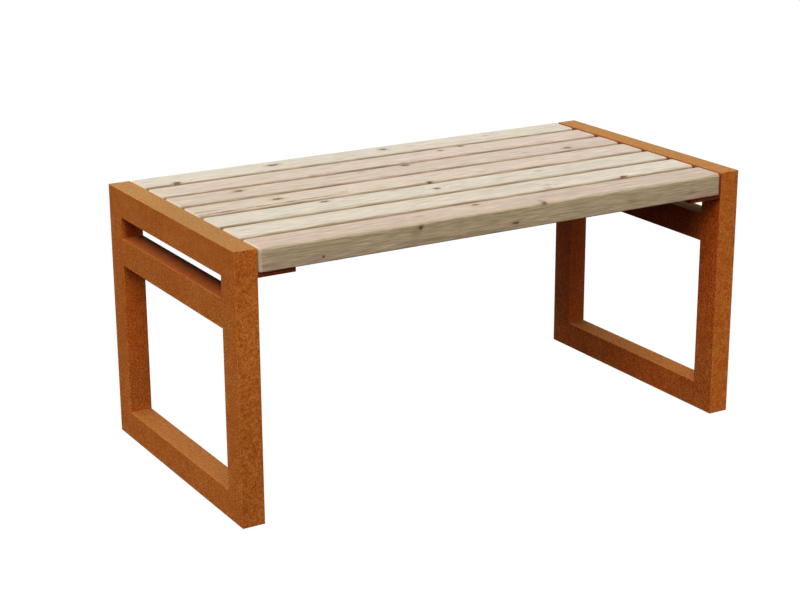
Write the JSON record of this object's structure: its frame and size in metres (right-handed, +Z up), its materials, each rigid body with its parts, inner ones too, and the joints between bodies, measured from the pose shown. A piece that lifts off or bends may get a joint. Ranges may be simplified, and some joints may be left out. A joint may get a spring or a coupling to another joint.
{
  "type": "garden bench",
  "caption": "Backless garden bench: a seat of timber slats between two closed end frames of rectangular weathering-steel tube.",
  "frame": {"origin": "on the ground, under the middle of the bench", "axes": "+X along the seat from its left end to its right end, +Y from front to back, +Z up"},
  "size_m": [1, 0.507, 0.46],
  "materials": {
    "frame_steel": "weathering steel with a matt orange-brown rust patina",
    "support_steel": "weathering steel with a darker matt rust patina",
    "slat_timber": "pale planed softwood with knots, washed with a thin matt glaze",
    "screw_steel": "stainless"
  },
  "bodies": {
    "root": {"left_front_leg": "frame_steel", "left_back_leg": "frame_steel", "left_top_rail": "frame_steel", "left_bottom_rail": "frame_steel", "left_crossbar": "frame_steel", "right_front_leg": "frame_steel", "right_back_leg": "frame_steel", "right_top_rail": "frame_steel", "right_bottom_rail": "frame_steel", "right_crossbar": "frame_steel", "left_support_bar": "support_steel", "right_support_bar": "support_steel", "slat_1": "slat_timber", "slat_2": "slat_timber", "slat_3": "slat_timber", "slat_4": "slat_timber", "slat_5": "slat_timber", "slat_6": "slat_timber", "slat_7": "slat_timber", "left_screw_1a": "screw_steel", "left_screw_1b": "screw_steel", "left_screw_2a": "screw_steel", "left_screw_2b": "screw_steel", "left_screw_3a": "screw_steel", "left_screw_3b": "screw_steel", "left_screw_4a": "screw_steel", "left_screw_4b": "screw_steel", "left_screw_5a": "screw_steel", "left_screw_5b": "screw_steel", "left_screw_6a": "screw_steel", "left_screw_6b": "screw_steel", "left_screw_7a": "screw_steel", "left_screw_7b": "screw_steel", "right_screw_1a": "screw_steel", "right_screw_1b": "screw_steel", "right_screw_2a": "screw_steel", "right_screw_2b": "screw_steel", "right_screw_3a": "screw_steel", "right_screw_3b": "screw_steel", "right_screw_4a": "screw_steel", "right_screw_4b": "screw_steel", "right_screw_5a": "screw_steel", "right_screw_5b": "screw_steel", "right_screw_6a": "screw_steel", "right_screw_6b": "screw_steel", "right_screw_7a": "screw_steel", "right_screw_7b": "screw_steel"}
  },
  "joints": []
}
